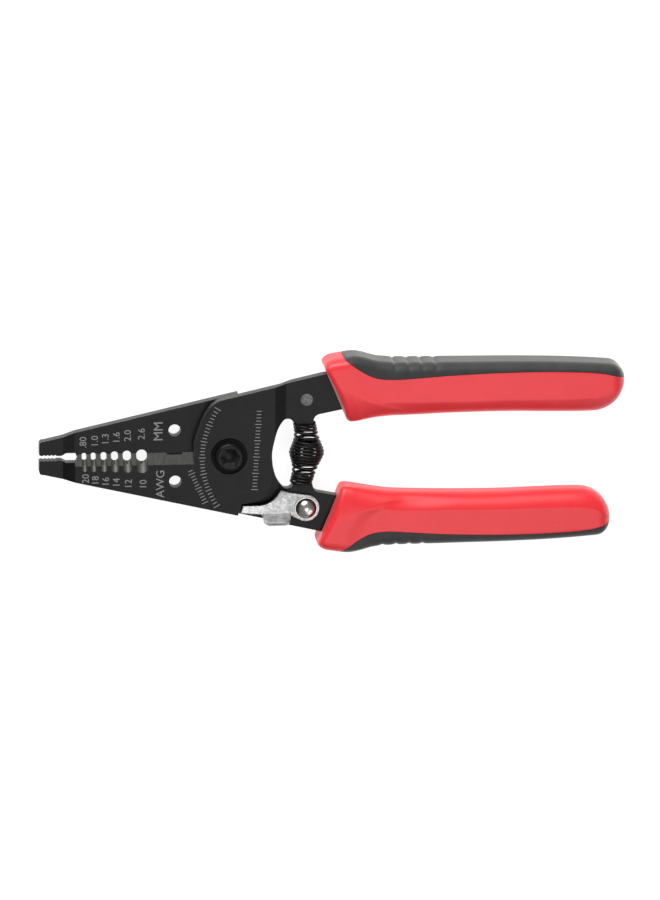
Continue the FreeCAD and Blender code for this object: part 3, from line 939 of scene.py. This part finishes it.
def scale_line(start, end, sag):
    """Even tick marks along a line, bowed by sag in its middle."""
    start, end = Vector(start), Vector(end)
    along = end - start
    count = int(along.length / TICK_PITCH)
    side = Vector((-along.y, along.x)).normalized()
    ticks = []
    for i in range(count + 1):
        t = i / count
        spot = start + along * t + side * sag * 4 * t * (1 - t)
        slope = along + side * sag * 4 * (1 - 2 * t)
        length = LONG_TICK if i % LONG_TICK_EVERY == 0 else SHORT_TICK
        ticks.append(tick(spot.x, spot.y, math.atan2(slope.y, slope.x), length))
    return ticks


def build_marks():
    """Sizes beside the notches of each jaw, their units, and the scale lines round the pivot."""
    grey_marks = etched_grey()
    upper = [number_mesh(text, x, y, SHEAR_FACE_Z, NUMBER_HEIGHT) for text, x, y in UPPER_NUMBERS]
    upper.append(number_mesh(*UPPER_UNIT, SHEAR_FACE_Z, UPPER_UNIT_HEIGHT))
    lower = [number_mesh(text, x, y, FRONT_FACE_Z, NUMBER_HEIGHT) for text, x, y in LOWER_NUMBERS]
    lower.append(number_mesh(*LOWER_UNIT, FRONT_FACE_Z, LOWER_UNIT_HEIGHT))
    ticks = []
    for start, end, sag in SCALE_LINES:
        ticks += scale_line(start, end, sag)
    for name, parts, body in (("upper_jaw_numbers", upper, "rear_body"),
                              ("lower_jaw_numbers", lower, "front_body"),
                              ("pivot_scale_marks", ticks, "front_body")):
        points, faces = joined(parts)
        piece = new_piece(name, points, faces, grey_marks, smooth=False)
        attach(piece, body)


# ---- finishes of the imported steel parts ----
def finish_cad_parts():
    """Gives each packed metal part its material."""
    pale_nickel = grey(0.4, (1.0, 0.96, 0.93))
    paler_nickel = grey(0.55, (1.0, 0.97, 0.95))
    finishes = {
        "front_half": oxide_steel("front_half_steel", 1),
        "rear_half": oxide_steel("rear_half_steel", -1),
        "pivot_washer": black_with_painted_shade(),
        "pivot_nut": black_fastener("nut_black"),
        "lock_lever": zinc_lever(),
        "lock_washer": bright_metal("washer_nickel", pale_nickel, paler_nickel, 0.3, 0.4, 0.14),
        "lock_rivet": rivet_nickel(),
        "tang_plug_pin": bright_metal("pin_steel", grey(0.06), grey(0.2), 0.35, 0.5, 0.12),
    }
    for name, material in finishes.items():
        mesh = frame["nodes"][name].data
        mesh.materials.clear()
        mesh.materials.append(material)


# ---- stage ----
def build_floor():
    """A pale floor that glows a little, so that it comes out evenly white."""
    corners = [(-FLOOR_HALF, -FLOOR_HALF, 0), (FLOOR_HALF, -FLOOR_HALF, 0),
               (FLOOR_HALF, FLOOR_HALF, 0), (-FLOOR_HALF, FLOOR_HALF, 0)]
    mesh = bpy.data.meshes.new("floor")
    mesh.from_pydata(corners, [], [(0, 1, 2, 3)])
    floor = bpy.data.objects.new("floor", mesh)
    floor.location.z = cad_low.z - FLOOR_GAP
    bpy.context.scene.collection.objects.link(floor)
    material = bpy.data.materials.new("pale_floor")
    material.use_nodes = True
    surface = material.node_tree.nodes["Principled BSDF"]
    surface.inputs["Base Color"].default_value = grey(FLOOR_GREY)
    surface.inputs["Emission Color"].default_value = (1, 1, 1, 1)
    surface.inputs["Emission Strength"].default_value = FLOOR_GLOW
    surface.inputs["Roughness"].default_value = 0.9
    surface.inputs["Specular IOR Level"].default_value = 0.1
    mesh.materials.append(material)


def area_light(name, position, size, power):
    """A rectangular light aimed at the middle of the frame."""
    data = bpy.data.lights.new(name, "AREA")
    data.shape = "RECTANGLE"
    data.size, data.size_y = size
    data.energy = power
    light = bpy.data.objects.new(name, data)
    light.location = position
    light.rotation_euler = (-Vector(position)).to_track_quat("-Z", "Y").to_euler()
    bpy.context.scene.collection.objects.link(light)


def build_lights():
    """Three soft lights and a faint even sky."""
    world = bpy.data.worlds.new("studio")
    world.use_nodes = True
    background = world.node_tree.nodes["Background"]
    background.inputs["Color"].default_value = (1.0, 1.0, 1.0, 1)
    background.inputs["Strength"].default_value = WORLD_STRENGTH
    bpy.context.scene.world = world
    for name, position, size, power in LIGHTS:
        area_light(name, position, size, power)


def build_camera():
    """A long lens from far off, tilted and rolled a little."""
    toward = Vector(CAMERA_SIDE).normalized()
    aim = place(*CAMERA_AIM)
    right = Vector((0, 1, 0)).cross(toward).normalized()
    up = toward.cross(right)
    roll = math.radians(CAMERA_ROLL)
    rolled_right = right * math.cos(roll) + up * math.sin(roll)
    rolled_up = up * math.cos(roll) - right * math.sin(roll)
    data = bpy.data.cameras.new("camera")
    data.lens = CAMERA_LENS
    data.sensor_width = 36.0
    camera = bpy.data.objects.new("camera", data)
    axes = Matrix((rolled_right, rolled_up, toward)).transposed()
    camera.matrix_world = Matrix.Translation(aim + toward * CAMERA_DISTANCE) @ axes.to_4x4()
    bpy.context.scene.collection.objects.link(camera)
    bpy.context.scene.camera = camera


build_camera()
build_floor()
build_lights()
finish_cad_parts()
build_grips()
build_spring()
build_screw()
build_marks()
bpy.context.scene.view_settings.view_transform = "Standard"
